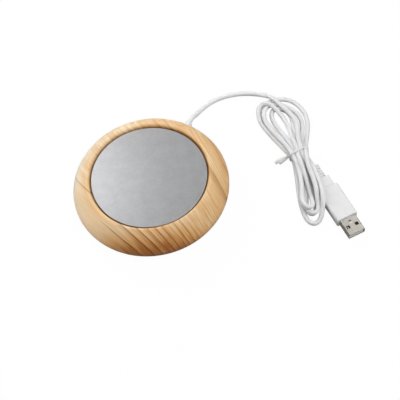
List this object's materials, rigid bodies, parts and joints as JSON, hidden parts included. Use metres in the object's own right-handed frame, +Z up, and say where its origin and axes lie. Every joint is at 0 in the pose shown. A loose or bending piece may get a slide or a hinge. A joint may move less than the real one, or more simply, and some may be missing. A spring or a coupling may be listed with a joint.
{
  "type": "electric mug warmer",
  "caption": "Desk mug warmer with a turned wooden casing, a round aluminium hot plate and a white cord tied in a hank with a flat USB plug.",
  "frame": {"origin": "centre of the casing on the surface that its feet stand on", "axes": "+Z up along the turning axis of the casing and the hot plate; the cord leaves the casing at 55 degrees from +X towards +Y and the plug lies on the +X side"},
  "size_m": [0.1871, 0.132, 0.0235],
  "materials": {
    "wood": "satin varnish, straight grain",
    "plate_metal": "fine matte",
    "cord_pvc": "soft white",
    "plug_pvc": "soft white",
    "shell_steel": "satin",
    "contact_gold": "gold plated",
    "insulator_white": "matte",
    "tie_wire": "coated wire",
    "cover_black": "fine texture",
    "foot_rubber": "matte",
    "screw_steel": "zinc plated",
    "sheet_steel": "satin",
    "foil_alloy": "etched",
    "mica_sheet": "pressed mica",
    "fibre_pad": "ceramic fibre",
    "gasket_black": "silicone",
    "lead_red": "insulated lead"
  },
  "bodies": {
    "root": {"wood_casing": "wood", "hot_plate": "plate_metal", "plate_gasket": "gasket_black", "mica_upper": "mica_sheet", "heating_foil": "foil_alloy", "mica_lower": "mica_sheet", "insulation_pad": "fibre_pad", "clamp_plate": "sheet_steel", "clamp_screws": "screw_steel", "thermal_cutout": "sheet_steel", "cutout_clip": "sheet_steel", "inner_leads": "lead_red", "base_cover": "cover_black", "cover_screws": "screw_steel", "rubber_feet": "foot_rubber", "cable_clamp": "cover_black", "cable_clamp_screws": "screw_steel", "strain_relief": "cord_pvc", "cord_inner_end": "cord_pvc", "power_cord": "cord_pvc", "cord_hank": "cord_pvc", "cord_tie": "tie_wire", "plug_overmould": "plug_pvc", "plug_core": "insulator_white", "plug_cord_end": "cord_pvc", "plug_shell": "shell_steel", "plug_insulator": "insulator_white", "plug_contacts": "contact_gold"}
  },
  "joints": []
}
